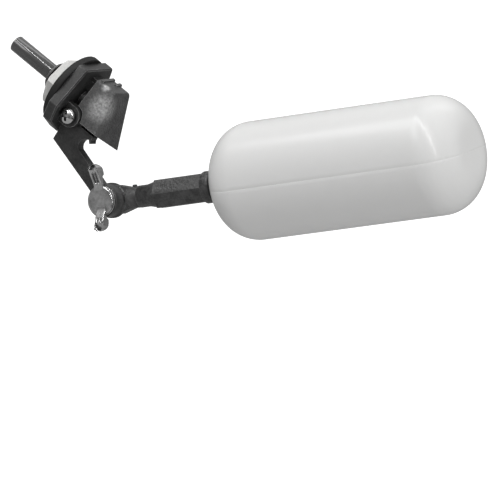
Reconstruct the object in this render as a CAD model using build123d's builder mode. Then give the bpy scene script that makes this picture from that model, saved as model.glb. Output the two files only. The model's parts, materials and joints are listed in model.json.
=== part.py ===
from build123d import *
import math
import os

os.makedirs("parts", exist_ok=True)

# Tank-mounted float valve, millimetres.  Origin: centre of the flange's sealing face, on the inlet
# axis.  +X runs from the inlet stem to the spray hood, +Z is up, pivots lie along Y with their heads
# on the -Y side.

# --- inlet and tank-wall clamp, along X ---
STEM_R = 3.175            # quarter-inch tube
STEM_BORE_R = 2.1
STEM_TIP_X = -31.9
STEM_SPIGOT_R = 2.9       # reduced end inside the shank
STEM_INNER_X = -2.5
SHANK_END_X = -11.4
THREAD_R = 5.75
THREAD_ROOT_R = 5.05
THREAD_PITCH = 1.5
FLANGE_T = 4.0
WASHER_R = 14.6
WASHER_T = 2.8
NUT_AF = 18.0
NUT_T = 5.2
NUT_TURN = -2.0           # degrees about the inlet axis
NUT_GAP = 0.02
SEAL_GROOVE_X = -9.4      # centre of the stem seal's groove
SEAL_GROOVE_R = 4.3
SEAL_GROOVE_W = 1.5

# --- nozzle ---
NECK_R = 3.4
NECK_END_X = 8.3
SEAT_R = 2.0
SEAT_ORIFICE_R = 0.9
SEAT_BACK_X = 2.0
SEAT_FACE_X = 9.1

# --- lever pivot ---
PIVOT_X = 7.5
PIVOT_Z = -5.3
PIVOT_SHAFT_R = 1.45
PIVOT_HOLE_R = 1.5
EAR_IN_Y = 7.2
EAR_OUT_Y = 9.8
EAR_R = 4.2
HUB_R = 3.3
PIVOT_HEAD_R = 2.9
PIVOT_HEAD_T = 2.9
PIVOT_NUT_AF = 5.5
PIVOT_NUT_T = 2.4
SWING_DEG = 12.0          # from the open stop to the closed seat

# --- lever ---
LEVER_IN_Y = 2.8
LEVER_OUT_Y = 6.8
KNUCKLE_X = 36.4
KNUCKLE_Z = -23.3
KNUCKLE_R = 6.25
KNUCKLE_BOSS_Y = 8.7      # face of the raised boss under the wing screw
HEEL_X = 5.0
HEEL_Z = -17.4
CLAMP_HOLE_R = 2.6
SEAL_R = 2.6
SEAL_T = 2.05
SEAL_POCKET = 1.2

# --- wing screw ---
WASHER_STEEL_T = 0.6
WASHER_STEEL_R = 5.8
WING_HUB_R = 5.5
WING_HUB_T = 0.8
WING_SHAFT_R = 2.45
WING_SHAFT_END_Y = 5.4
KNUCKLE_NUT_AF = 8.0
KNUCKLE_NUT_T = 4.0
NUT_POCKET = 2.4
WING_OFFSET = 1.2         # the casting's blades sit off centre, towards the upper tip
WING_ANGLE = 131.9        # direction of the blades in the XZ plane
WING_T = 3.8
WING_TIP_R = 12.6         # from the blades' own middle
WING_REACH_Y = 16.0       # deep enough to take in the whole screw

# --- float arm, measured from the knuckle along the float axis ---
ARM_ANGLE = 42.5
ROD_KNUCKLE_R = 6.6
ROD_KNUCKLE_Y = 2.7       # half thickness
ROD_R = 4.05
SPIGOT_R = 2.4
SPIGOT_START = 7.2
PIN_R = 0.9
SHOULDER_Y = 2.2
KNUCKLE_BACK_DEPTH = 3.6   # the knuckle's far side tapers in over this depth
KNUCKLE_BACK_IN = 2.0
ROD_END = 11.7
PIN_AT = 9.7
STEM_CYL_END = 15.6
HEX_START = 20.4
HEX_AF = 10.4
COLLAR_START = 40.3
COLLAR_END = 44.0
COLLAR_R = 6.0
GASKET_END = 46.0
GASKET_R = 6.4
STUD_R = 4.0
STUD_END = 57.0
INSERT_FLANGE_R = 7.2
INSERT_R = 6.0
INSERT_END = 60.0
FLOAT_START = 48.0
FLOAT_LENGTH = 103.7
FLOAT_R = 21.9
FLOAT_CORNER_R = 14.0
FLOAT_WALL = 1.6
SEAM_TILT = -9.0          # turn of the float's seam about its own axis

# --- hood ---
HOOD_BACK_X = 7.4
HOOD_TOP_Z = 10.95
HOOD_NEAR_TOP_Y = -4.5
HOOD_FAR_TOP_Y = 7.3
HOOD_FRONT_X = 16.2       # front wall at the roof
HOOD_LEAN = 0.294         # forward growth per mm down
HOOD_WALL = 1.4
TONGUE_Y = 1.4            # middle of the roof and of the tongue under it
SNAP_X = 10.6             # the tongue's snap bump
HOOD_NEAR_BOTTOM = (-8.9, -5.2)   # y, z of the rim on the lever side
HOOD_FAR_BOTTOM = (9.95, -11.0)
RIDGE_W = 1.4
RIDGE_TURN = 5.0          # the roof's ridges run slightly askew

arm_rad = math.radians(ARM_ANGLE)
arm_dir = Vector(math.cos(arm_rad), 0, math.sin(arm_rad))
knuckle = Vector(KNUCKLE_X, 0, KNUCKLE_Z)
pivot = Vector(PIVOT_X, 0, PIVOT_Z)
float_axis = Axis(knuckle, arm_dir)
float_plane = Plane(origin=knuckle, x_dir=arm_dir, z_dir=(0, -1, 0))
lean = math.radians(-SWING_DEG)
closed_plane = Plane(
    origin=pivot,
    x_dir=(math.cos(lean), 0, math.sin(lean)),
    z_dir=(0, -1, 0),
)


def across_arm(distance):
    """Plane square to the float axis, its local x along +Y."""
    return Plane(origin=knuckle + arm_dir * distance, x_dir=(0, 1, 0), z_dir=arm_dir)


def cross_y(y, x=0.0, z=0.0):
    """Plane with local x and y along X and Z, facing -Y, through the given point."""
    return Plane(origin=(x, y, z), x_dir=(1, 0, 0), z_dir=(0, -1, 0))


# ---------------------------------------------------------------- valve body
flange_corners = [
    (9.1, 13.4), (15.6, -3.7), (13.7, -10.6), (4.6, -15.0),
    (-4.6, -15.0), (-13.7, -10.6), (-15.6, -3.7), (-8.9, 12.6),
]
shank_outline = [(SHANK_END_X, 0), (SHANK_END_X, THREAD_ROOT_R)]
crest_count = int(-SHANK_END_X / THREAD_PITCH)
for turn in range(crest_count):
    start = SHANK_END_X + 0.3 + turn * THREAD_PITCH
    shank_outline += [
        (start, THREAD_ROOT_R),
        (start + 0.45, THREAD_R),
        (start + 0.75, THREAD_R),
        (start + 1.2, THREAD_ROOT_R),
    ]
shank_outline += [(0, THREAD_ROOT_R), (0, 0)]

with BuildPart() as valve_body:
    with BuildSketch(Plane.YZ):
        with BuildLine():
            Polyline(flange_corners, close=True)
        make_face()
        fillet(vertices(), radius=1.2)
    extrude(amount=FLANGE_T)
    front_edges = faces().sort_by(Axis.X)[-1].edges()
    chamfer(front_edges, length=0.5)
    with BuildSketch(Plane.XZ):
        with BuildLine():
            Polyline(shank_outline, close=True)
        make_face()
    revolve(axis=Axis.X)
    with BuildSketch(Plane.YZ.offset(FLANGE_T)):
        Circle(NECK_R)
    extrude(amount=NECK_END_X - FLANGE_T)
    for side in (-1, 1):
        ear_face_y = side * (EAR_IN_Y if side > 0 else EAR_OUT_Y)
        with BuildSketch(cross_y(ear_face_y + (EAR_OUT_Y - EAR_IN_Y))):
            with Locations((PIVOT_X, PIVOT_Z)):
                Circle(EAR_R)
            with Locations(((FLANGE_T + PIVOT_X) / 2, PIVOT_Z)):
                Rectangle(PIVOT_X - FLANGE_T, 2 * EAR_R)
        extrude(amount=EAR_OUT_Y - EAR_IN_Y)
    # roof tongue with its snap bump
    with BuildSketch(Plane.YZ.offset(FLANGE_T)):
        with Locations((TONGUE_Y, HOOD_TOP_Z - HOOD_WALL - 0.8)):
            Rectangle(6.4, 1.6)
    extrude(amount=8.6)
    with BuildSketch(Plane.XY.offset(HOOD_TOP_Z - HOOD_WALL)):
        with Locations((SNAP_X, TONGUE_Y)):
            Rectangle(1.4, 4.0)
    extrude(amount=0.5)
    # stem socket, seal groove and water passage
    with BuildSketch(Plane.YZ.offset(SHANK_END_X)):
        Circle(STEM_SPIGOT_R)
    extrude(amount=STEM_INNER_X - SHANK_END_X, mode=Mode.SUBTRACT)
    with BuildSketch(Plane.YZ.offset(SEAL_GROOVE_X - SEAL_GROOVE_W / 2)):
        Circle(SEAL_GROOVE_R)
    extrude(amount=SEAL_GROOVE_W, mode=Mode.SUBTRACT)
    with BuildSketch(Plane.YZ.offset(STEM_INNER_X)):
        Circle(SEAT_R)
    extrude(amount=NECK_END_X - STEM_INNER_X, mode=Mode.SUBTRACT)
    with BuildSketch(cross_y(EAR_OUT_Y + 1)):
        with Locations((PIVOT_X, PIVOT_Z)):
            Circle(PIVOT_HOLE_R)
    extrude(amount=2 * EAR_OUT_Y + 2, mode=Mode.SUBTRACT)
valve_body.part.label = "valve_body"
export_step(valve_body.part, "parts/valve_body.step")

# ---------------------------------------------------------------- inlet pieces
with BuildPart() as inlet_stem:
    with BuildSketch(Plane.YZ.offset(STEM_TIP_X)):
        Circle(STEM_R)
    extrude(amount=SHANK_END_X - STEM_TIP_X)
    with BuildSketch(Plane.YZ.offset(SHANK_END_X)):
        Circle(STEM_SPIGOT_R)
    extrude(amount=STEM_INNER_X - SHANK_END_X)
    with BuildSketch(Plane.YZ.offset(STEM_TIP_X)):
        Circle(STEM_BORE_R)
    extrude(amount=STEM_INNER_X - STEM_TIP_X, mode=Mode.SUBTRACT)
    tip_edges = faces().sort_by(Axis.X)[0].edges()
    fillet(tip_edges, radius=0.4)
inlet_stem.part.label = "inlet_stem"
export_step(inlet_stem.part, "parts/inlet_stem.step")

with BuildPart() as stem_o_ring:
    seal_half = (SEAL_GROOVE_R - STEM_SPIGOT_R) / 2
    with BuildSketch(Plane.XZ):
        with Locations((SEAL_GROOVE_X, STEM_SPIGOT_R + seal_half)):
            Circle(seal_half)
    revolve(axis=Axis.X)
stem_o_ring.part.label = "stem_o_ring"
export_step(stem_o_ring.part, "parts/stem_o_ring.step")

with BuildPart() as nozzle_seat:
    with BuildSketch(Plane.XZ):
        with BuildLine():
            Polyline(
                (SEAT_BACK_X, SEAT_ORIFICE_R),
                (SEAT_BACK_X, SEAT_R),
                (NECK_END_X + 0.1, SEAT_R),
                (SEAT_FACE_X, SEAT_R - 0.6),
                (SEAT_FACE_X, SEAT_ORIFICE_R),
                close=True,
            )
        make_face()
    revolve(axis=Axis.X)
nozzle_seat.part.label = "nozzle_seat"
export_step(nozzle_seat.part, "parts/nozzle_seat.step")

with BuildPart() as sealing_washer:
    with BuildSketch(Plane.YZ.offset(-WASHER_T)):
        Circle(WASHER_R)
        Circle(THREAD_R + 0.05, mode=Mode.SUBTRACT)
    extrude(amount=WASHER_T)
    rim = edges().filter_by(GeomType.CIRCLE).group_by(SortBy.RADIUS)[-1]
    fillet(rim, radius=0.4)
sealing_washer.part.label = "sealing_washer"
export_step(sealing_washer.part, "parts/sealing_washer.step")

with BuildPart() as mounting_nut:
    nut_back_x = -WASHER_T - NUT_GAP - NUT_T
    with BuildSketch(Plane.YZ.offset(nut_back_x)):
        RegularPolygon(NUT_AF / 2, 6, major_radius=False, rotation=NUT_TURN)
    extrude(amount=NUT_T)
    # both faces turned down at the corners
    with BuildSketch(Plane.XZ):
        corner_r = NUT_AF / 2 / math.cos(math.pi / 6)
        with BuildLine():
            Polyline(
                (nut_back_x, 0),
                (nut_back_x, corner_r - 0.9),
                (nut_back_x + 0.5, corner_r + 0.1),
                (nut_back_x + NUT_T - 0.4, corner_r + 0.1),
                (nut_back_x + NUT_T, corner_r - 0.6),
                (nut_back_x + NUT_T, 0),
                close=True,
            )
        make_face()
    revolve(axis=Axis.X, mode=Mode.INTERSECT)
    with BuildSketch(Plane.YZ.offset(nut_back_x)):
        Circle(THREAD_R + 0.05)
    extrude(amount=NUT_T, mode=Mode.SUBTRACT)
    bore_rims = edges().filter_by(GeomType.CIRCLE).group_by(SortBy.RADIUS)[0]
    chamfer(bore_rims, length=0.5)
mounting_nut.part.label = "mounting_nut"
export_step(mounting_nut.part, "parts/mounting_nut.step")


# ---------------------------------------------------------------- outlet hood
def hood_section(inset):
    """Corners of the flared section, moved inwards by the wall, open end well below the rim."""
    low = HOOD_FAR_BOTTOM[1] - 5
    corners = []
    for top_y, bottom in ((HOOD_NEAR_TOP_Y, HOOD_NEAR_BOTTOM), (HOOD_FAR_TOP_Y, HOOD_FAR_BOTTOM)):
        flare = (bottom[0] - top_y) / (HOOD_TOP_Z - bottom[1])
        inward = math.copysign(inset * math.hypot(1, flare), -flare)
        top = HOOD_TOP_Z - inset
        corners.append((top_y + flare * inset + inward, top))
        corners.append((top_y + flare * (HOOD_TOP_Z - low) + inward, low))
    near_top, near_low, far_top, far_low = corners
    return [near_top, far_top, far_low, near_low]


def hood_front(inset):
    """Leaning plane of the front wall, moved back by the wall."""
    return Plane(
        origin=(HOOD_FRONT_X - inset * math.hypot(1, HOOD_LEAN), 0, HOOD_TOP_Z),
        x_dir=(0, 1, 0),
        z_dir=(1, 0, HOOD_LEAN),
    )


rim_rise = HOOD_FAR_BOTTOM[1] - HOOD_NEAR_BOTTOM[1]
rim_run = HOOD_FAR_BOTTOM[0] - HOOD_NEAR_BOTTOM[0]
rim_plane = Plane(
    origin=(0, HOOD_NEAR_BOTTOM[0], HOOD_NEAR_BOTTOM[1]),
    x_dir=(1, 0, 0),
    z_dir=(0, -rim_rise, rim_run),
)

with BuildPart() as hood_cavity:
    with BuildSketch(Plane.YZ.offset(HOOD_BACK_X - 1)):
        with BuildLine():
            Polyline(hood_section(HOOD_WALL), close=True)
        make_face()
        fillet(vertices().group_by(Axis.Y)[-1], radius=0.6)
    extrude(amount=20)
    split(bisect_by=hood_front(HOOD_WALL), keep=Keep.BOTTOM)

with BuildPart() as outlet_hood:
    with BuildSketch(Plane.YZ.offset(HOOD_BACK_X)):
        with BuildLine():
            Polyline(hood_section(0), close=True)
        make_face()
        roof_corners = vertices().group_by(Axis.Y)[-1].sort_by(Axis.X)
        fillet(roof_corners[0], radius=1.0)
        fillet(vertices().sort_by(Axis.X)[-3:].sort_by(Axis.Y)[-1], radius=2.2)
    extrude(amount=20)
    split(bisect_by=hood_front(0), keep=Keep.BOTTOM)
    front_face = faces().sort_by(Axis.X)[-1]
    fillet(front_face.edges().sort_by(Axis.Z)[1:], radius=0.9)
    # a long grip ridge at the back of the roof and a short one on its far half
    for ridge_x, ridge_y, ridge_length in ((8.3, 1.4, 9.6), (11.3, 4.4, 4.6)):
        with BuildSketch(Plane.XY.offset(HOOD_TOP_Z - 0.2)):
            with Locations((ridge_x, ridge_y)):
                Rectangle(RIDGE_W, ridge_length, rotation=RIDGE_TURN)
        extrude(amount=0.85, taper=12)
    add(hood_cavity.part, mode=Mode.SUBTRACT)
    split(bisect_by=rim_plane, keep=Keep.TOP)
    # blind recess under the roof for the tongue's snap bump
    with BuildSketch(Plane.XY.offset(HOOD_TOP_Z - HOOD_WALL - 0.1)):
        with Locations((SNAP_X, TONGUE_Y)):
            Rectangle(1.5, 4.1)
    extrude(amount=0.7, mode=Mode.SUBTRACT)
    # notches that clear the two ears
    with BuildSketch(cross_y(15)):
        with Locations((PIVOT_X, PIVOT_Z)):
            Circle(EAR_R + 0.35)
        with Locations((PIVOT_X - 4, PIVOT_Z)):
            Rectangle(8, 2 * EAR_R + 0.7)
    extrude(amount=30, mode=Mode.SUBTRACT)
outlet_hood.part.label = "outlet_hood"
export_step(outlet_hood.part, "parts/outlet_hood.step")

# ---------------------------------------------------------------- lever
with BuildPart() as lever_arm:
    # lever-side plate: heel, arm, prong with its hooked lip, and knuckle
    with BuildSketch(cross_y(-LEVER_IN_Y)):
        with BuildLine():
            heel = Line((HEEL_X, PIVOT_Z), (HEEL_X, HEEL_Z))
            lower_edge = Line(heel @ 1, (30.5, -24.3))
            knuckle_side = Line(lower_edge @ 1, (34.2, -19.6))
            upper_edge = Line(knuckle_side @ 1, (16.2, -14.3))
            notch = ThreePointArc(upper_edge @ 1, (15.2, -11.6), (17.3, -9.1))
            lip_root = Line(notch @ 1, (18.0, -8.8))
            lip_inner = Line(lip_root @ 1, (18.8, -9.8))
            lip_tip = ThreePointArc(lip_inner @ 1, (19.15, -9.85), (19.3, -9.5))
            lip_outer = Line(lip_tip @ 1, (18.8, -8.6))
            prong_end = Line(lip_outer @ 1, (18.8, -7.4))
            prong_corner = ThreePointArc(prong_end @ 1, (18.65, -7.05), (18.3, -6.9))
            prong_top = Line(prong_corner @ 1, (10.4, -6.9))
            shoulder = Line(prong_top @ 1, (10.4, PIVOT_Z))
            Line(shoulder @ 1, heel @ 0)
        make_face()
        with Locations((PIVOT_X, PIVOT_Z)):
            Circle(HUB_R)
        with Locations((KNUCKLE_X, KNUCKLE_Z)):
            Circle(KNUCKLE_R)
    extrude(amount=LEVER_OUT_Y - LEVER_IN_Y)
    with BuildSketch(cross_y(-LEVER_OUT_Y)):
        with Locations((KNUCKLE_X, KNUCKLE_Z)):
            Circle(KNUCKLE_R)
    extrude(amount=KNUCKLE_BOSS_Y - LEVER_OUT_Y)
    boss_rim = faces().sort_by(Axis.Y)[0].edges()
    chamfer(boss_rim, length=0.3)
    # far cheek
    with BuildSketch(cross_y(LEVER_OUT_Y)):
        with Locations((PIVOT_X, PIVOT_Z)):
            Circle(HUB_R)
    extrude(amount=LEVER_OUT_Y - LEVER_IN_Y)
    with BuildSketch(closed_plane.offset(-LEVER_OUT_Y)):
        with Locations((2.4, -1.55)):
            Rectangle(4.8, 3.5)
    extrude(amount=LEVER_OUT_Y - LEVER_IN_Y)
    # crossbar in front of the nozzle, and the finger that carries the seal
    with BuildSketch(closed_plane.offset(-LEVER_OUT_Y)):
        with Locations((3.75, -0.85)):
            Rectangle(2.5, 4.9)
    extrude(amount=2 * LEVER_OUT_Y)
    with BuildSketch(closed_plane.offset(-4.0)):
        with Locations((3.75, 4.6)):
            Rectangle(2.5, 9.2)
    extrude(amount=8.0)
    finger_plane = Plane(
        origin=pivot + closed_plane.x_dir * 2.5 + closed_plane.y_dir * -PIVOT_Z,
        x_dir=(0, 1, 0),
        z_dir=closed_plane.x_dir,
    )
    with BuildSketch(finger_plane):
        Circle(SEAL_R)
    extrude(amount=SEAL_POCKET, mode=Mode.SUBTRACT)
    with BuildSketch(cross_y(LEVER_OUT_Y + 1)):
        with Locations((PIVOT_X, PIVOT_Z)):
            Circle(PIVOT_HOLE_R)
    extrude(amount=2 * LEVER_OUT_Y + 2, mode=Mode.SUBTRACT)
    with BuildSketch(cross_y(0)):
        with Locations((KNUCKLE_X, KNUCKLE_Z)):
            Circle(CLAMP_HOLE_R)
    extrude(amount=KNUCKLE_BOSS_Y + 1, mode=Mode.SUBTRACT)
lever_arm.part.label = "lever_arm"
export_step(lever_arm.part, "parts/lever_arm.step")

with BuildPart() as seal_plug:
    plug_plane = finger_plane.offset(SEAL_POCKET - SEAL_T)
    with BuildSketch(plug_plane):
        Circle(SEAL_R)
    extrude(amount=SEAL_T)
    chamfer(edges().group_by(Axis.X)[0], length=0.25)
seal_plug.part.label = "seal_plug"
export_step(seal_plug.part, "parts/seal_plug.step")

# ---------------------------------------------------------------- pivot screw and nut
pivot_y_axis = Axis((PIVOT_X, 0, PIVOT_Z), (0, 1, 0))

with BuildPart() as pivot_screw:
    with BuildSketch(Plane(origin=(PIVOT_X, 0, PIVOT_Z), x_dir=(1, 0, 0), z_dir=(0, 0, 1))):
        with BuildLine():
            head_y = -EAR_OUT_Y - PIVOT_HEAD_T
            crown = ThreePointArc(
                (0, head_y),
                (1.75, head_y + 0.3),
                (PIVOT_HEAD_R, head_y + 1.3),
            )
            rim_edge = Line(crown @ 1, (PIVOT_HEAD_R, -EAR_OUT_Y))
            under_head = Line(rim_edge @ 1, (PIVOT_SHAFT_R, -EAR_OUT_Y))
            shaft_side = Line(under_head @ 1, (PIVOT_SHAFT_R, EAR_OUT_Y + PIVOT_NUT_T + 0.8))
            tip = Line(shaft_side @ 1, (0, EAR_OUT_Y + PIVOT_NUT_T + 0.8))
            Line(tip @ 1, crown @ 0)
        make_face()
    revolve(axis=pivot_y_axis)
    with BuildSketch(cross_y(head_y + 1.2, PIVOT_X, PIVOT_Z)):
        Rectangle(3.6, 0.8, rotation=25)
        Rectangle(0.8, 3.6, rotation=25)
    extrude(amount=2.0, taper=-8, mode=Mode.SUBTRACT)
pivot_screw.part.label = "pivot_screw"
export_step(pivot_screw.part, "parts/pivot_screw.step")

with BuildPart() as pivot_nut:
    with BuildSketch(cross_y(EAR_OUT_Y + PIVOT_NUT_T, PIVOT_X, PIVOT_Z)):
        RegularPolygon(PIVOT_NUT_AF / 2, 6, major_radius=False)
        Circle(PIVOT_SHAFT_R, mode=Mode.SUBTRACT)
    extrude(amount=PIVOT_NUT_T)
    outer_rim = faces().sort_by(Axis.Y)[-1].outer_wire().edges()
    chamfer(outer_rim, length=0.3)
pivot_nut.part.label = "pivot_nut"
export_step(pivot_nut.part, "parts/pivot_nut.step")

# ---------------------------------------------------------------- clamp at the knuckle
washer_out_y = -KNUCKLE_BOSS_Y - WASHER_STEEL_T
with BuildPart() as knuckle_washer:
    with BuildSketch(cross_y(-KNUCKLE_BOSS_Y, KNUCKLE_X, KNUCKLE_Z)):
        Circle(WASHER_STEEL_R)
        Circle(CLAMP_HOLE_R, mode=Mode.SUBTRACT)
    extrude(amount=WASHER_STEEL_T)
knuckle_washer.part.label = "knuckle_washer"
export_step(knuckle_washer.part, "parts/knuckle_washer.step")

wing_rad = math.radians(WING_ANGLE)
wing_dir = Vector(math.cos(wing_rad), 0, math.sin(wing_rad))
wing_side = Vector(-math.sin(wing_rad), 0, math.cos(wing_rad))
hub_front_y = washer_out_y - WING_HUB_T
clamp_axis = Axis((KNUCKLE_X, 0, KNUCKLE_Z), (0, 1, 0))

with BuildPart() as wing_screw:
    for side in (-1, 1):
        # local x runs out along the blade and local y forwards from the washer
        blade_plane = Plane(
            origin=Vector(KNUCKLE_X, washer_out_y, KNUCKLE_Z) + wing_dir * WING_OFFSET,
            x_dir=wing_dir * side,
            z_dir=wing_side * -side,
        )
        with BuildSketch(blade_plane.offset(-WING_T / 2)):
            with BuildLine():
                root = Line((3.2, 0.05), (3.2, 0.9))
                rise = ThreePointArc(root @ 1, (4.6, 1.1), (5.8, 1.6))
                front = Line(rise @ 1, (11.3, 4.5))
                crown = ThreePointArc(front @ 1, (12.1, 4.6), (WING_TIP_R, 4.0))
                outer_face = Line(crown @ 1, (WING_TIP_R, 2.0))
                back = ThreePointArc(outer_face @ 1, (11.2, -0.2), (8.4, -1.3))
                back_step = Line(back @ 1, (7.6, 0.05))
                Line(back_step @ 1, root @ 0)
            make_face()
        extrude(amount=WING_T)
    # both tips rounded across their thickness
    tips_centre = knuckle + wing_dir * WING_OFFSET
    with BuildSketch(cross_y(WING_REACH_Y, tips_centre.X, tips_centre.Z)):
        SlotOverall(2 * WING_TIP_R, WING_T, rotation=WING_ANGLE)
    extrude(amount=2 * WING_REACH_Y, mode=Mode.INTERSECT)
    with BuildSketch(Plane(origin=(KNUCKLE_X, 0, KNUCKLE_Z), x_dir=(1, 0, 0), z_dir=(0, 0, 1))):
        with BuildLine():
            Polyline(
                (0, hub_front_y),
                (WING_HUB_R - 0.5, hub_front_y),
                (WING_HUB_R, hub_front_y + 0.5),
                (WING_HUB_R, washer_out_y),
                (WING_SHAFT_R, washer_out_y),
                (WING_SHAFT_R, WING_SHAFT_END_Y - 0.5),
                (WING_SHAFT_R - 0.5, WING_SHAFT_END_Y),
                (0, WING_SHAFT_END_Y),
                close=True,
            )
        make_face()
    revolve(axis=clamp_axis)
wing_screw.part.label = "wing_screw"
export_step(wing_screw.part, "parts/wing_screw.step")

nut_far_y = ROD_KNUCKLE_Y - NUT_POCKET + KNUCKLE_NUT_T
with BuildPart() as knuckle_nut:
    with BuildSketch(cross_y(nut_far_y, KNUCKLE_X, KNUCKLE_Z)):
        RegularPolygon(KNUCKLE_NUT_AF / 2, 6, major_radius=False)
        Circle(WING_SHAFT_R + 0.05, mode=Mode.SUBTRACT)
    extrude(amount=KNUCKLE_NUT_T)
    nut_rim = faces().sort_by(Axis.Y)[-1].outer_wire().edges()
    chamfer(nut_rim, length=0.4)
knuckle_nut.part.label = "knuckle_nut"
export_step(knuckle_nut.part, "parts/knuckle_nut.step")

# ---------------------------------------------------------------- float arm
with BuildPart() as knuckle_rod:
    with BuildSketch(cross_y(ROD_KNUCKLE_Y, KNUCKLE_X, KNUCKLE_Z)):
        Circle(ROD_KNUCKLE_R)
    extrude(amount=2 * ROD_KNUCKLE_Y)
    knuckle_rims = edges().filter_by(GeomType.CIRCLE).sort_by(Axis.Y)
    chamfer(knuckle_rims[0], length=0.5)
    chamfer(knuckle_rims[-1], length=KNUCKLE_BACK_DEPTH, length2=KNUCKLE_BACK_IN)
    # shoulders that run from the knuckle into the rod
    with BuildSketch(float_plane.offset(-SHOULDER_Y)):
        with BuildLine():
            Polyline((3.0, 5.4), (8.2, 4.0), (8.2, -4.0), (3.0, -5.4), close=True)
        make_face()
    extrude(amount=2 * SHOULDER_Y)
    with BuildSketch(across_arm(SPIGOT_START)):
        Circle(ROD_R)
    extrude(amount=ROD_END - SPIGOT_START)
    with BuildSketch(across_arm(SPIGOT_START)):
        Circle(SPIGOT_R)
    extrude(amount=ROD_END - SPIGOT_START, mode=Mode.SUBTRACT)
    with BuildSketch(cross_y(ROD_KNUCKLE_Y + 1, KNUCKLE_X, KNUCKLE_Z)):
        Circle(CLAMP_HOLE_R)
    extrude(amount=2 * ROD_KNUCKLE_Y + 2, mode=Mode.SUBTRACT)
    with BuildSketch(cross_y(ROD_KNUCKLE_Y, KNUCKLE_X, KNUCKLE_Z)):
        RegularPolygon(KNUCKLE_NUT_AF / 2, 6, major_radius=False)
    extrude(amount=NUT_POCKET, mode=Mode.SUBTRACT)
    pin_plane = Plane(
        origin=knuckle + arm_dir * PIN_AT,
        x_dir=arm_dir,
        z_dir=float_plane.y_dir,
    )
    with BuildSketch(pin_plane):
        Circle(PIN_R)
    extrude(amount=ROD_R + 1, both=True, mode=Mode.SUBTRACT)
knuckle_rod.part.label = "knuckle_rod"
export_step(knuckle_rod.part, "parts/knuckle_rod.step")

with BuildPart() as rod_pin:
    with BuildSketch(pin_plane.offset(-ROD_R + 0.2)):
        Circle(PIN_R)
    extrude(amount=2 * ROD_R + 0.5)
    fillet(edges().group_by(Axis.Z)[-1], radius=0.4)
rod_pin.part.label = "rod_pin"
export_step(rod_pin.part, "parts/rod_pin.step")

with BuildPart() as float_stem:
    with BuildSketch(float_plane):
        with BuildLine():
            Polyline(
                (SPIGOT_START + 0.2, 0),
                (SPIGOT_START + 0.2, SPIGOT_R),
                (ROD_END, SPIGOT_R),
                (ROD_END, ROD_R + 0.1),
                (STEM_CYL_END, ROD_R + 0.1),
                (HEX_START, HEX_AF / 2 + 0.1),
                (HEX_START, 0),
                close=True,
            )
        make_face()
    revolve(axis=float_axis)
    with BuildSketch(across_arm(HEX_START - 0.6)):
        RegularPolygon(HEX_AF / 2, 6, major_radius=False)
    extrude(amount=COLLAR_START - HEX_START + 0.6)
    with BuildSketch(across_arm(COLLAR_START)):
        Circle(COLLAR_R)
    extrude(amount=COLLAR_END - COLLAR_START)
    with BuildSketch(across_arm(COLLAR_END)):
        Circle(STUD_R)
    extrude(amount=STUD_END - COLLAR_END)
    with BuildSketch(pin_plane):
        Circle(PIN_R)
    extrude(amount=ROD_R, both=True, mode=Mode.SUBTRACT)
    # spanner notch in the collar's rim
    with BuildSketch(across_arm(COLLAR_START + 1.2)):
        with Locations((-2.6, COLLAR_R)):
            Rectangle(2.6, 1.4, rotation=23)
    extrude(amount=1.6, mode=Mode.SUBTRACT)
float_stem.part.label = "float_stem"
export_step(float_stem.part, "parts/float_stem.step")

with BuildPart() as float_gasket:
    with BuildSketch(across_arm(COLLAR_END)):
        Circle(GASKET_R)
        Circle(STUD_R, mode=Mode.SUBTRACT)
    extrude(amount=GASKET_END - COLLAR_END)
float_gasket.part.label = "float_gasket"
export_step(float_gasket.part, "parts/float_gasket.step")

# ---------------------------------------------------------------- float
RUN_GAP = 0.05
insert_start = GASKET_END + RUN_GAP
with BuildPart() as float_insert:
    with BuildSketch(float_plane):
        with BuildLine():
            Polyline(
                (insert_start, STUD_R + RUN_GAP),
                (insert_start, INSERT_FLANGE_R),
                (FLOAT_START, INSERT_FLANGE_R),
                (FLOAT_START, INSERT_R),
                (INSERT_END, INSERT_R),
                (INSERT_END, 0),
                (STUD_END + 0.8, 0),
                (STUD_END + 0.8, STUD_R + RUN_GAP),
                close=True,
            )
        make_face()
    revolve(axis=float_axis)
float_insert.part.label = "float_insert"
export_step(float_insert.part, "parts/float_insert.step")


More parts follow.
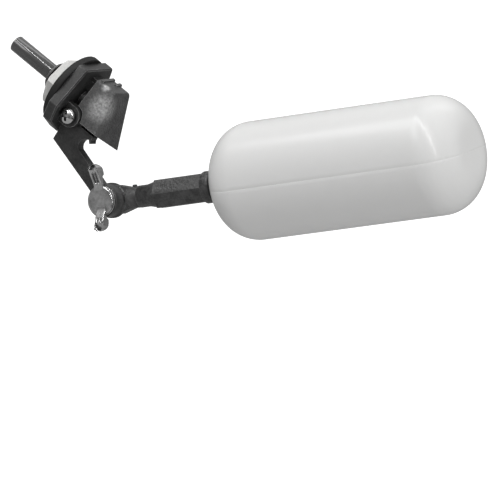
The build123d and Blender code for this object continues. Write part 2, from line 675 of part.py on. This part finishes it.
def float_half(first_angle):
    """Half of the hollow float: the wall's section turned half way round its axis."""
    far_end = FLOAT_START + FLOAT_LENGTH
    inner_r = FLOAT_R - FLOAT_WALL
    inner_corner = FLOAT_CORNER_R - FLOAT_WALL
    bend = math.sqrt(0.5)
    seam_rad = math.radians(first_angle)
    seam_normal = Vector(0, -1, 0) * math.cos(seam_rad) + float_plane.y_dir * math.sin(seam_rad)
    turned = Plane(origin=knuckle, x_dir=arm_dir, z_dir=seam_normal)
    with BuildPart() as half:
        with BuildSketch(turned):
            with BuildLine():
                start_mid = (
                    FLOAT_START + FLOAT_CORNER_R * (1 - bend),
                    FLOAT_R - FLOAT_CORNER_R * (1 - bend),
                )
                end_mid = (far_end - FLOAT_CORNER_R * (1 - bend), start_mid[1])
                inner_start_mid = (
                    FLOAT_START + FLOAT_CORNER_R - inner_corner * bend,
                    FLOAT_R - FLOAT_CORNER_R + inner_corner * bend,
                )
                inner_end_mid = (
                    far_end - FLOAT_CORNER_R + inner_corner * bend,
                    inner_start_mid[1],
                )
                near_face = Line(
                    (FLOAT_START, INSERT_R),
                    (FLOAT_START, FLOAT_R - FLOAT_CORNER_R),
                )
                near_round = ThreePointArc(
                    near_face @ 1, start_mid, (FLOAT_START + FLOAT_CORNER_R, FLOAT_R)
                )
                barrel = Line(near_round @ 1, (far_end - FLOAT_CORNER_R, FLOAT_R))
                far_round = ThreePointArc(
                    barrel @ 1, end_mid, (far_end, FLOAT_R - FLOAT_CORNER_R)
                )
                far_face = Line(far_round @ 1, (far_end, 0))
                wall_step = Line(far_face @ 1, (far_end - FLOAT_WALL, 0))
                inner_far = Line(
                    wall_step @ 1, (far_end - FLOAT_WALL, FLOAT_R - FLOAT_CORNER_R)
                )
                inner_far_round = ThreePointArc(
                    inner_far @ 1, inner_end_mid, (far_end - FLOAT_CORNER_R, inner_r)
                )
                inner_barrel = Line(
                    inner_far_round @ 1, (FLOAT_START + FLOAT_CORNER_R, inner_r)
                )
                inner_near_round = ThreePointArc(
                    inner_barrel @ 1,
                    inner_start_mid,
                    (FLOAT_START + FLOAT_WALL, FLOAT_R - FLOAT_CORNER_R),
                )
                inner_near = Line(
                    inner_near_round @ 1, (FLOAT_START + FLOAT_WALL, INSERT_R)
                )
                Line(inner_near @ 1, near_face @ 0)
            make_face()
        revolve(axis=float_axis, revolution_arc=180)
    return half.part


float_shell_upper = float_half(SEAM_TILT + 90)
float_shell_upper.label = "float_shell_upper"
export_step(float_shell_upper, "parts/float_shell_upper.step")

float_shell_lower = float_half(SEAM_TILT + 270)
float_shell_lower.label = "float_shell_lower"
export_step(float_shell_lower, "parts/float_shell_lower.step")
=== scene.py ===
import json
import math

import bmesh
import bpy
from mathutils import Matrix, Vector


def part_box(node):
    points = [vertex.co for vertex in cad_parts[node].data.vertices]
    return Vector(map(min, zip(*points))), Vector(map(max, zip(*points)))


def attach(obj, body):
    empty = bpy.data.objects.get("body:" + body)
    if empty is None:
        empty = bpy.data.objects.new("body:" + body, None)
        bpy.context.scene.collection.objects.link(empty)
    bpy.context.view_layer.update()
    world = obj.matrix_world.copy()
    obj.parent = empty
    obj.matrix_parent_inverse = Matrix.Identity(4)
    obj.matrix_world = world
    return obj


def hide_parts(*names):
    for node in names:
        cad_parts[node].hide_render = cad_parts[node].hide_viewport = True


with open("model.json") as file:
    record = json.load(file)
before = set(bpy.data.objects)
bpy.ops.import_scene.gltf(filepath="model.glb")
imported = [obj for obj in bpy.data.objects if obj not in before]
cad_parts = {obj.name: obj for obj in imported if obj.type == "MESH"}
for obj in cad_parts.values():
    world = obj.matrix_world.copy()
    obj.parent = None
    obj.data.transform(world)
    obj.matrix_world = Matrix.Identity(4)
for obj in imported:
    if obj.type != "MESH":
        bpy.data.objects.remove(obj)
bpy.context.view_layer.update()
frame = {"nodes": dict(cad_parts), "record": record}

nodes = frame["nodes"]

MM = 0.001                # the scene is in metres

# ------------------------------------------------------------------ camera
VIEW_AZIMUTH = 24.2       # degrees towards +X from the -Y side
VIEW_ELEVATION = 18.3
INLET_SLOPE = -39.55      # slope of the inlet axis in the picture, degrees
FRAME_WIDTH = 0.1859      # width of the picture at the object
DISTANCE = 2.5
SENSOR = 36.0
CLIP_END = 20
ANCHOR = Vector((0.004, 0, 0))               # on the inlet axis, at the flange's front
ANCHOR_TO_CENTRE = (0.0619, -0.0563, 0)      # right, up and towards the camera


def view_axes():
    """Right, up and backward directions of the rolled camera."""
    azimuth = math.radians(VIEW_AZIMUTH)
    elevation = math.radians(VIEW_ELEVATION)
    back = Vector((
        math.sin(azimuth) * math.cos(elevation),
        -math.cos(azimuth) * math.cos(elevation),
        math.sin(elevation),
    ))
    level_right = Vector((math.cos(azimuth), math.sin(azimuth), 0))
    level_up = back.cross(level_right)
    slope = math.atan2(level_up.x, level_right.x)
    roll = math.radians(INLET_SLOPE) - slope
    right = level_right * math.cos(roll) - level_up * math.sin(roll)
    up = level_right * math.sin(roll) + level_up * math.cos(roll)
    return right, up, back


RIGHT, UP, BACK = view_axes()


def in_view(x, y, z, origin):
    """A point given by metres right, up and towards the camera from an origin."""
    return origin + RIGHT * x + UP * y + BACK * z


target = in_view(*ANCHOR_TO_CENTRE, ANCHOR)


def make_camera():
    data = bpy.data.cameras.new("camera")
    data.sensor_width = SENSOR
    data.lens = SENSOR * DISTANCE / FRAME_WIDTH
    data.clip_end = CLIP_END
    camera = bpy.data.objects.new("camera", data)
    bpy.context.scene.collection.objects.link(camera)
    axes = Matrix((RIGHT, UP, BACK)).transposed()
    camera.matrix_world = Matrix.Translation(target + BACK * DISTANCE) @ axes.to_4x4()
    bpy.context.scene.camera = camera


# ------------------------------------------------------------------ lights
# each light's place is metres right, up and towards the camera from the target; the two
# fills lift the pale float but leave no glare on metal
LIGHTS = {
    "key": dict(place=(-0.55, 0.75, 0.35), size=(0.9, 0.30), power=2.4),
    "edge": dict(place=(0.25, 0.80, -0.10), size=(0.9, 0.20), power=0.8),
    "strip": dict(place=(0.0, 0.60, 0.62), size=(1.9, 0.012), power=3.6),
    "low_fill": dict(place=(0.55, -0.75, 0.75), size=(1.0, 1.0), power=5.6, glare=False),
    "end_fill": dict(place=(1.10, 0.15, 0.25), size=(0.8, 0.8), power=2.0, glare=False),
}


def area_light(name, place, size, power, glare=True):
    """A rectangular light aimed at the target."""
    data = bpy.data.lights.new(name, "AREA")
    data.shape = "RECTANGLE"
    data.size, data.size_y = size
    data.energy = power
    light = bpy.data.objects.new(name, data)
    bpy.context.scene.collection.objects.link(light)
    light.location = in_view(*place, target)
    aim = (target - light.location).to_track_quat("-Z", "Y")
    light.rotation_euler = aim.to_euler()
    light.visible_glossy = glare


# ------------------------------------------------------------------ shader helpers
def node(tree, kind, **settings):
    """A shader node with its properties set."""
    made = tree.nodes.new(kind)
    for name, value in settings.items():
        setattr(made, name, value)
    return made


def feed(tree, socket, value):
    """Give an input socket a constant, or link it to an output socket."""
    if isinstance(value, bpy.types.NodeSocket):
        tree.links.new(value, socket)
    else:
        socket.default_value = value


def arithmetic(tree, operation, *values):
    """A math node worked on numbers or sockets."""
    made = node(tree, "ShaderNodeMath", operation=operation)
    for socket, value in zip(made.inputs, values):
        feed(tree, socket, value)
    return made.outputs["Value"]


def map_range(tree, value, start, end, low=0.0, high=1.0, **settings):
    """Map start..end to low..high, held at both ends."""
    made = node(tree, "ShaderNodeMapRange", **settings)
    made.inputs["From Min"].default_value = start
    made.inputs["From Max"].default_value = end
    made.inputs["To Min"].default_value = low
    made.inputs["To Max"].default_value = high
    tree.links.new(value, made.inputs["Value"])
    return made.outputs["Result"]


def mix_colour(tree, factor, first, second):
    """Mix two colours, each a colour value or a socket."""
    made = node(tree, "ShaderNodeMix", data_type="RGBA")
    feed(tree, made.inputs[6], first)
    feed(tree, made.inputs[7], second)
    tree.links.new(factor, made.inputs["Factor"])
    return made.outputs[2]


def grey(value):
    return (value, value, value, 1)


def ramp(tree, factor, stops):
    """A colour ramp with grey stops given as (place, value) pairs."""
    made = node(tree, "ShaderNodeValToRGB")
    elements = made.color_ramp.elements
    while len(elements) < len(stops):
        elements.new(0.5)
    for element, (place, value) in zip(elements, stops):
        element.position = place
        element.color = grey(value)
    tree.links.new(factor, made.inputs["Fac"])
    return made.outputs["Color"]


def show_to_camera(tree, hidden, shown, output):
    """Show one shader to camera rays and the other to all other rays."""
    path = node(tree, "ShaderNodeLightPath")
    seen = node(tree, "ShaderNodeMixShader")
    tree.links.new(path.outputs["Is Camera Ray"], seen.inputs["Fac"])
    tree.links.new(hidden.outputs[0], seen.inputs[1])
    tree.links.new(shown.outputs[0], seen.inputs[2])
    tree.links.new(seen.outputs[0], tree.nodes[output].inputs["Surface"])


# ------------------------------------------------------------------ surroundings
# brightness of the sky from straight below the picture (0) to straight above it (1)
SKY_STOPS = (
    (0.0, 0.02),
    (0.24, 0.05),
    (0.35, 0.28),
    (0.46, 0.40),
    (0.58, 0.28),
    (0.74, 0.66),
    (1.0, 0.85),
)
SKY_STRENGTH = 0.72
FLOOR_REACH = 8
FLOOR_HEIGHT = -0.35
FLOOR_SHADE = 0.38
FLOOR_ROUGHNESS = 0.9
FLOOR_GLOW = 1.0


def make_world():
    """Soft sky, brightest above the picture and dim below it, with a white backdrop."""
    world = bpy.data.worlds.new("studio")
    world.use_nodes = True
    tree = world.node_tree
    place = node(tree, "ShaderNodeTexCoord")
    height = node(tree, "ShaderNodeVectorMath", operation="DOT_PRODUCT")
    height.inputs[1].default_value = UP
    tree.links.new(place.outputs["Generated"], height.inputs[0])
    share = map_range(tree, height.outputs["Value"], -1.0, 1.0)
    sky = tree.nodes["Background"]
    feed(tree, sky.inputs["Color"], ramp(tree, share, SKY_STOPS))
    sky.inputs["Strength"].default_value = SKY_STRENGTH
    backdrop = node(tree, "ShaderNodeBackground")
    backdrop.inputs["Color"].default_value = grey(1)
    show_to_camera(tree, sky, backdrop, "World Output")
    bpy.context.scene.world = world


def make_floor():
    """Plain grey floor well below the valve, which glows white for the camera alone."""
    mesh = bpy.data.meshes.new("floor")
    maker = bmesh.new()
    bmesh.ops.create_grid(maker, x_segments=1, y_segments=1, size=FLOOR_REACH)
    maker.to_mesh(mesh)
    maker.free()
    floor = bpy.data.objects.new("floor", mesh)
    bpy.context.scene.collection.objects.link(floor)
    floor.location = (0, 0, FLOOR_HEIGHT)
    paint = bpy.data.materials.new("floor")
    paint.use_nodes = True
    tree = paint.node_tree
    matt = tree.nodes["Principled BSDF"]
    matt.inputs["Base Color"].default_value = grey(FLOOR_SHADE)
    matt.inputs["Roughness"].default_value = FLOOR_ROUGHNESS
    glow = node(tree, "ShaderNodeEmission")
    glow.inputs["Strength"].default_value = FLOOR_GLOW
    both = node(tree, "ShaderNodeAddShader")
    tree.links.new(matt.outputs[0], both.inputs[0])
    tree.links.new(glow.outputs[0], both.inputs[1])
    show_to_camera(tree, matt, both, "Material Output")
    mesh.materials.append(paint)


# ------------------------------------------------------------------ materials
# low and high are the shades of the darkest and palest patches and the third is the shade of pale
# edges, partly worn and partly a painted highlight, all times the tint; rough is the roughness
# range;
# grain is how coarse the moulded or cast surface is and bump how strong; stretch draws the grain
# out along an axis
FINISHES = {
    "body_plastic": dict(
        low=0.018, high=0.050, wear_and_highlight=0.50, rough=(0.30, 0.46), grain=0.60 * MM, bump=0.35,
    ),
    "hood_plastic": dict(
        low=0.030, high=0.110, wear_and_highlight=0.45, rough=(0.34, 0.48), grain=0.75 * MM, bump=1.0,
    ),
    "stem_plastic": dict(
        low=0.055, high=0.080, wear_and_highlight=0.20, rough=(0.09, 0.15), grain=0.30 * MM, bump=0.002,
        stretch=(0.05, 1, 1), coat=1.0,
    ),
    "arm_plastic": dict(
        low=0.018, high=0.058, wear_and_highlight=0.26, rough=(0.32, 0.48), grain=0.60 * MM, bump=0.35,
    ),
    "stem_arm_plastic": dict(
        low=0.012, high=0.092, wear_and_highlight=0.22, rough=(0.28, 0.42), grain=0.80 * MM, bump=1.0,
    ),
    "white_nylon": dict(
        low=0.70, high=0.80, wear_and_highlight=0.86, rough=(0.34, 0.46), grain=0.50 * MM, bump=0.06,
        tint=(1.0, 0.995, 0.975),
    ),
    "rubber": dict(
        low=0.004, high=0.014, wear_and_highlight=0.05, rough=(0.55, 0.78), grain=0.30 * MM, bump=0.18,
    ),
    "brass": dict(
        low=0.50, high=0.72, wear_and_highlight=0.85, rough=(0.20, 0.34), grain=0.20 * MM, bump=0.06,
        tint=(1.0, 0.78, 0.40), metal=1.0,
    ),
    "bright_steel": dict(
        low=0.62, high=0.84, wear_and_highlight=0.95, rough=(0.10, 0.22), grain=0.25 * MM, bump=0.04, metal=1.0,
    ),
    "cast_zinc": dict(
        low=0.38, high=0.82, wear_and_highlight=0.92, rough=(0.16, 0.26), grain=1.3 * MM, bump=0.20, metal=1.0,
    ),
    "float_plastic": dict(
        low=0.80, high=0.812, wear_and_highlight=0.88, rough=(0.21, 0.225), grain=0.60 * MM, bump=0.012,
        tint=(1.0, 1.0, 0.992),
    ),
}
NO_TINT = (1.0, 1.0, 1.0)
EVEN = (1, 1, 1)
COAT_ROUGHNESS = 0.05
PATCH_SIZE = 5 * MM                # broad uneven patches on every surface
NOISE_MIDDLE = (0.32, 0.68)        # where most values of a noise lie
GRAIN_SHARE = 0.45                 # how much of the mottling is fine grain
RELIEF = 0.2 * MM
EDGE_RADIUS = 0.35 * MM
EDGE_SAMPLES = 6
EDGE_TURN = (0.995, 0.90)          # cosine of the normal's turn, from a plain surface to a full pale edge
# the strongest pale edge, partly worn and partly a painted highlight
EDGE_WEAR_AND_HIGHLIGHT = 0.75
PATCHINESS = (0.35, 1.0)          # pale edges come and go along an edge, and painted light breaks up across a patch
# painted shade: corners and grooves darkened where little light reaches
PAINTED_SHADE_REACH = 1.2 * MM
PAINTED_SHADE_SAMPLES = 8
PAINTED_SHADE_OPEN = (0.35, 0.85)         # open share of the surroundings, from full painted shade to none
PAINTED_SHADE_SHARE = 0.25                # colour of the painted shade, as a share of the dark colour
# painted light patches: pale where light falls, or a painted highlight along an edge
PAINTED_LIGHT_SPECKLE = 0.9 * MM
PAINTED_LIGHT_CORE = 0.25                  # share of a painted light patch's radius that is fully pale


def tinted(value, tint):
    return (value * tint[0], value * tint[1], value * tint[2], 1)


def noise(tree, vector, size, detail):
    """Noise whose features are about the given size in metres."""
    made = node(tree, "ShaderNodeTexNoise")
    made.inputs["Scale"].default_value = 1 / size
    made.inputs["Detail"].default_value = detail
    tree.links.new(vector, made.inputs["Vector"])
    return made.outputs["Fac"]


def spread(tree, value, low, high):
    """Map the useful middle of a noise to a range."""
    return map_range(tree, value, *NOISE_MIDDLE, low, high)


def edge_wear_and_highlight(tree):
    """Strongest along sharp edges, where a rounded normal leaves the true one; it places pale
    edges, partly worn and partly a painted highlight.
    """
    rounded = node(tree, "ShaderNodeBevel", samples=EDGE_SAMPLES)
    rounded.inputs["Radius"].default_value = EDGE_RADIUS
    true = node(tree, "ShaderNodeNewGeometry")
    along = node(tree, "ShaderNodeVectorMath", operation="DOT_PRODUCT")
    tree.links.new(rounded.outputs["Normal"], along.inputs[0])
    tree.links.new(true.outputs["Normal"], along.inputs[1])
    return map_range(tree, along.outputs["Value"], *EDGE_TURN, 0.0, EDGE_WEAR_AND_HIGHLIGHT)


def painted_shade_mask(tree):
    """Near zero in tight corners and grooves, where shade is painted."""
    reach = node(tree, "ShaderNodeAmbientOcclusion", samples=PAINTED_SHADE_SAMPLES)
    reach.inputs["Distance"].default_value = PAINTED_SHADE_REACH
    return map_range(tree, reach.outputs["AO"], *PAINTED_SHADE_OPEN)


def surface_noises(tree, stretch, grain):
    """The broad patches and the fine grain of a surface."""
    place = node(tree, "ShaderNodeTexCoord")
    mapping = node(tree, "ShaderNodeMapping")
    mapping.inputs["Scale"].default_value = stretch
    tree.links.new(place.outputs["Object"], mapping.inputs["Vector"])
    vector = mapping.outputs["Vector"]
    return noise(tree, vector, PATCH_SIZE, detail=3.0), noise(tree, vector, grain, detail=4.0)


def colour_with_wear_and_painted_light(tree, patches, fine, low, high, wear_and_highlight, tint):
    """Mottled colour, pale on edges where worn and where a highlight is painted, with painted
    shade in corners.
    """
    broad = arithmetic(tree, "MULTIPLY", patches, 1 - GRAIN_SHARE)
    mottling = arithmetic(tree, "MULTIPLY_ADD", fine, GRAIN_SHARE, broad)
    shade = spread(tree, mottling, 0.0, 1.0)
    skin = mix_colour(tree, shade, tinted(low, tint), tinted(high, tint))
    # pale edges, partly worn and partly a painted highlight
    pale_edges = arithmetic(tree, "MULTIPLY", edge_wear_and_highlight(tree), spread(tree, patches, *PATCHINESS))
    colour = mix_colour(tree, pale_edges, skin, tinted(wear_and_highlight, tint))
    # painted shade darkens corners and grooves
    return mix_colour(tree, painted_shade_mask(tree), tinted(low * PAINTED_SHADE_SHARE, tint), colour)


def finish_material(slot, low, high, wear_and_highlight, rough, grain, bump, tint=NO_TINT, metal=0.0,
                    stretch=EVEN, coat=0.0):
    """The material of a slot, from its row in FINISHES."""
    made = bpy.data.materials.new(slot)
    made.use_nodes = True
    tree = made.node_tree
    patches, fine = surface_noises(tree, stretch, grain)
    relief = node(tree, "ShaderNodeBump")
    relief.inputs["Strength"].default_value = bump
    relief.inputs["Distance"].default_value = RELIEF
    tree.links.new(fine, relief.inputs["Height"])
    shader = tree.nodes["Principled BSDF"]
    shader.inputs["Metallic"].default_value = metal
    shader.inputs["Coat Weight"].default_value = coat
    shader.inputs["Coat Roughness"].default_value = COAT_ROUGHNESS
    colour = colour_with_wear_and_painted_light(tree, patches, fine, low, high, wear_and_highlight, tint)
    tree.links.new(colour, shader.inputs["Base Color"])
    tree.links.new(spread(tree, patches, *rough), shader.inputs["Roughness"])
    tree.links.new(relief.outputs["Normal"], shader.inputs["Normal"])
    return made


def add_painted_light(made, centre, radius, value):
    """A pale patch of painted light, with a broken outline, around a point of the surface."""
    tree = made.node_tree
    shader = tree.nodes["Principled BSDF"]
    skin = shader.inputs["Base Color"].links[0].from_socket
    place = node(tree, "ShaderNodeTexCoord")
    away = node(tree, "ShaderNodeVectorMath", operation="DISTANCE")
    away.inputs[1].default_value = centre
    tree.links.new(place.outputs["Object"], away.inputs[0])
    fade = map_range(
        tree, away.outputs["Value"], radius, radius * PAINTED_LIGHT_CORE, interpolation_type="SMOOTHSTEP",
    )
    speckle = noise(tree, place.outputs["Object"], PAINTED_LIGHT_SPECKLE, detail=5.0)
    broken = arithmetic(tree, "MULTIPLY", fade, spread(tree, speckle, *PATCHINESS))
    lit_colour = mix_colour(tree, broken, skin, tinted(value, NO_TINT))
    tree.links.new(lit_colour, shader.inputs["Base Color"])


def point_in(box, share):
    """The point at the given shares of a box along X, Y and Z."""
    low, high = box
    return Vector([start + part * (end - start) for start, end, part in zip(low, high, share)])


ROOF_DROP = Vector((0, 0, 1.2 * MM))     # the painted highlight on the roof's edge lies this far below its top


def add_all_painted_light(materials):
    """Painted light on the hood's near wall and on the root of the rod, and a painted highlight
    on the hood's roof edge.
    """
    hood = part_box("outlet_hood")
    near_wall = point_in(hood, (0.55, 0.15, 0.66))
    roof_edge = point_in(hood, (0.30, 0.25, 1.0)) - ROOF_DROP
    rod_root = point_in(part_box("knuckle_rod"), (0.62, 0.20, 0.62))
    # painted light where the hood's near wall is lit
    add_painted_light(materials["hood_plastic"], near_wall, radius=7.5 * MM, value=0.42)
    # painted highlight along the roof's edge
    add_painted_light(materials["hood_plastic"], roof_edge, radius=2.3 * MM, value=0.6)
    # painted light on the root of the rod
    add_painted_light(materials["arm_plastic"], rod_root, radius=6.5 * MM, value=0.15)


# ------------------------------------------------------------------ edge rounding
# rounding of single nodes; the rest take the common one
ROUNDING = {
    "wing_screw": 0,
    "float_shell_upper": 0.004 * MM,
    "float_shell_lower": 0.004 * MM,
    "stem_o_ring": 0,
    "rod_pin": 0.1 * MM,
    "pivot_screw": 0.1 * MM,
    "knuckle_washer": 0.08 * MM,
}
COMMON_ROUNDING = 0.2 * MM
ROUNDING_STEPS = 2
SHARP_FROM = 32           # degrees between faces
WELD_REACH = 0.001 * MM


def add_weld(part):
    """Join the doubled points along the CAD mesh's edges."""
    weld = part.modifiers.new("weld", "WELD")
    weld.merge_threshold = WELD_REACH


def soften(part, width):
    """Round a node's sharp edges by modifier."""
    add_weld(part)
    bevel = part.modifiers.new("bevel", "BEVEL")
    bevel.width = width
    bevel.segments = ROUNDING_STEPS
    bevel.limit_method = "ANGLE"
    bevel.angle_limit = math.radians(SHARP_FROM)
    bevel.harden_normals = True


# ------------------------------------------------------------------ wing screw casting
WING_ANGLE = math.radians(131.9)      # direction of the blades in the XZ plane
CAST_GRID = 0.2 * MM
CAST_SMOOTHING = 3
CAST_LUMP = 0.05 * MM
LUMP_LENGTH_X = 1.1 * MM              # along X and Z for one radian of the unevenness
LUMP_LENGTH_Z = 0.9 * MM
FRONT_FACING = -0.3                   # a normal's Y below this is on the front
GROOVE_AT = 0.55 * MM                 # either side of the blade's middle
GROOVE_HALF = 0.50 * MM
GROOVE_DEPTH = 0.8 * MM
GROOVE_FROM = 6.2 * MM
GROOVE_TO = 11.0 * MM
GROOVE_FADE = 0.8 * MM
TIP_FLAT_UPPER = 11.6 * MM            # where each tip's sloping flat starts
TIP_FLAT_LOWER = 7.9 * MM
TIP_FLAT_FRONT = 2.9 * MM             # how far it stands in front of the washer there
TIP_FLAT_SLOPE = 0.30


def joint_place(name):
    """Where a joint of the record has its axis."""
    joints = frame["record"]["behaviour"]["joints"]
    return next(Vector(joint["pos_m"]) for joint in joints if joint["name"] == name)


def remeshed_copy(source, name):
    """A separate piece with an even, smoothed copy of a node's mesh."""
    piece = bpy.data.objects.new(name, source.data.copy())
    bpy.context.scene.collection.objects.link(piece)
    piece.matrix_world = source.matrix_world.copy()
    add_weld(piece)
    grid = piece.modifiers.new("grid", "REMESH")
    grid.mode = "VOXEL"
    grid.voxel_size = CAST_GRID
    smooth = piece.modifiers.new("smooth", "SMOOTH")
    smooth.iterations = CAST_SMOOTHING
    bpy.context.view_layer.update()
    ready = piece.evaluated_get(bpy.context.evaluated_depsgraph_get())
    mesh = bpy.data.meshes.new_from_object(ready)
    piece.modifiers.clear()
    piece.data = mesh
    return piece


def groove_depth(along, across):
    """How deep the two grooves of a blade are at a place on its front."""
    off = abs(abs(across) - GROOVE_AT) / GROOVE_HALF
    ends = min(along - GROOVE_FROM, GROOVE_TO - along) / GROOVE_FADE
    if off >= 1 or ends <= 0:
        return 0.0
    return GROOVE_DEPTH * math.cos(off * math.pi / 2) * min(ends, 1.0)


def shape_blades(mesh, pivot, washer_face):
    """Make the blades slightly uneven, groove their fronts and slope their tips."""
    middle = Vector((pivot.x, 0, pivot.z))
    blade = Vector((math.cos(WING_ANGLE), 0, math.sin(WING_ANGLE)))
    side = Vector((-blade.z, 0, blade.x))
    normals = [vertex.normal.copy() for vertex in mesh.vertices]
    for vertex, normal in zip(mesh.vertices, normals):
        out = vertex.co - middle
        along = abs(out.dot(blade))
        wave = math.sin(vertex.co.x / LUMP_LENGTH_X) * math.sin(vertex.co.z / LUMP_LENGTH_Z)
        if along > GROOVE_FROM:
            vertex.co -= normal * (CAST_LUMP + CAST_LUMP * wave)
        if normal.y < FRONT_FACING:
            vertex.co.y += groove_depth(along, out.dot(side))
            flat_start = TIP_FLAT_UPPER if out.dot(blade) > 0 else TIP_FLAT_LOWER
            if along > flat_start:
                flat_y = washer_face - TIP_FLAT_FRONT + TIP_FLAT_SLOPE * (along - flat_start)
                vertex.co.y = max(vertex.co.y, flat_y)


def keep_inside(mesh, box):
    """Move any point that left a box back to its surface."""
    low, high = box
    for vertex in mesh.vertices:
        for axis in range(3):
            vertex.co[axis] = min(max(vertex.co[axis], low[axis]), high[axis])


def make_wing_casting(material):
    """The wing screw as a casting: softened, slightly uneven, with grooved blades."""
    piece = remeshed_copy(nodes["wing_screw"], "wing_screw_casting")
    mesh = piece.data
    washer_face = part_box("knuckle_washer")[0][1]
    shape_blades(mesh, joint_place("wing_turn"), washer_face)
    keep_inside(mesh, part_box("wing_screw"))
    for face in mesh.polygons:
        face.use_smooth = True
    mesh.materials.clear()
    mesh.materials.append(material)
    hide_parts("wing_screw")
    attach(piece, "wing")


# ------------------------------------------------------------------ scene
make_camera()
for name, settings in LIGHTS.items():
    area_light(name, **settings)
make_world()
make_floor()

materials = {slot: finish_material(slot, **look) for slot, look in FINISHES.items()}
add_all_painted_light(materials)
make_wing_casting(materials["cast_zinc"])

node_slots = {part["node"]: part["material_slot"] for part in frame["record"]["subparts"]}
for name, part in nodes.items():
    for place in part.material_slots:
        place.material = materials[node_slots[name]]
    width = ROUNDING.get(name, COMMON_ROUNDING)
    if width:
        soften(part, width)

bpy.context.scene.view_settings.view_transform = "Standard"
